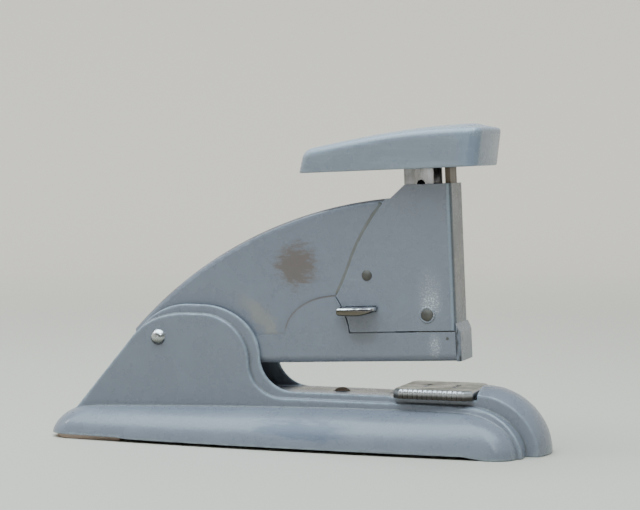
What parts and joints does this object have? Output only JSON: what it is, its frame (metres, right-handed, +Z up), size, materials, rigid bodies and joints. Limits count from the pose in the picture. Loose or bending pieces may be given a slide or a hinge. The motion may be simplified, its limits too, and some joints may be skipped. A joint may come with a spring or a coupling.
{
  "type": "desk stapler",
  "caption": "Heavy-duty desk stapler with a boat-shaped hollow base, a hinged magazine, a bowed arm that opens for loading, a palm knob on a sprung plunger and a turning anvil.",
  "frame": {"origin": "on the table under the middle of the base's length and width", "axes": "+X to the front, where the staple comes out; +Z up; +Y to the left side, away from the latch tab"},
  "size_m": [0.2697, 0.077, 0.1673],
  "materials": {
    "enamel": "satin grey-blue enamel, worn",
    "chrome": "bright plate, scuffed",
    "steel": "dull nickel",
    "dull_steel": "bare steel, browned",
    "rusty": "rusty steel",
    "rubber": "aged, matte"
  },
  "bodies": {
    "base": {"base_casting": "enamel", "rear_foot_pad": "rubber", "hinge_pin": "chrome", "hinge_pin_cap": "chrome", "hinge_bush": "steel", "arm_spring": "steel", "spring_stud": "steel", "leaf_spring": "steel", "leaf_rivet": "rusty"},
    "anvil_lifter": {"anvil_collar": "steel"},
    "anvil": {"anvil_plate": "steel", "anvil_stem": "steel"},
    "magazine": {"magazine_cover": "enamel", "staple_channel": "steel", "staple_rail": "chrome", "channel_rivets": "dull_steel", "guide_rod": "chrome", "rod_bracket": "steel", "spring_cup": "steel", "latch_catch": "steel", "pusher_spring": "steel"},
    "pusher": {"pusher": "steel"},
    "arm": {"arm_shell": "enamel", "head_shell": "enamel", "front_plate": "enamel", "head_rivets": "rusty", "head_block": "dull_steel", "spring_post": "steel", "plunger_guide": "dull_steel", "plunger_spring": "steel", "latch_spring": "steel"},
    "latch": {"latch_slide": "chrome"},
    "plunger": {"knob": "enamel", "crosshead": "dull_steel", "knob_screws": "dull_steel", "plunger_channel": "chrome", "driver_bar": "dull_steel", "driver_blade": "steel", "blade_rivets": "dull_steel"}
  },
  "joints": [
    {"name": "arm_press", "type": "hinge", "parent": "base", "child": "magazine", "pos_m": [-0.075, 0, 0.0546], "axis": [0, 1, 0], "range_deg": [0, 4.3], "stiffness_Nm_per_rad": 8, "springref_deg": -11.46, "deforming": ["arm_spring"]},
    {"name": "arm_open", "type": "hinge", "parent": "magazine", "child": "arm", "pos_m": [-0.075, 0, 0.0546], "axis": [0, -1, 0], "range_deg": [0, 60]},
    {"name": "plunger_press", "type": "slide", "parent": "arm", "child": "plunger", "axis": [0.0436, 0, -0.999], "range_m": [0, 0.016], "stiffness_N_per_m": 800, "springref_m": -0.02, "deforming": ["plunger_spring"]},
    {"name": "latch_pull", "type": "slide", "parent": "arm", "child": "latch", "axis": [0.999, 0, 0.0436], "range_m": [0, 0.005], "stiffness_N_per_m": 200, "springref_m": -0.01, "deforming": ["latch_spring"]},
    {"name": "pusher_back", "type": "slide", "parent": "magazine", "child": "pusher", "axis": [0.999, 0, 0.0436], "range_m": [-0.095, 0], "stiffness_N_per_m": 20, "springref_m": 0.05, "deforming": ["pusher_spring"]},
    {"name": "anvil_lift", "type": "slide", "parent": "base", "child": "anvil_lifter", "axis": [0, 0, 1], "range_m": [0, 0.0015], "stiffness_N_per_m": 500, "springref_m": -0.004, "deforming": ["leaf_spring"]},
    {"name": "anvil_turn", "type": "hinge", "parent": "anvil_lifter", "child": "anvil", "pos_m": [0.0771, 0, 0.028], "axis": [0, 0, 1], "range_deg": [0, 180]}
  ]
}
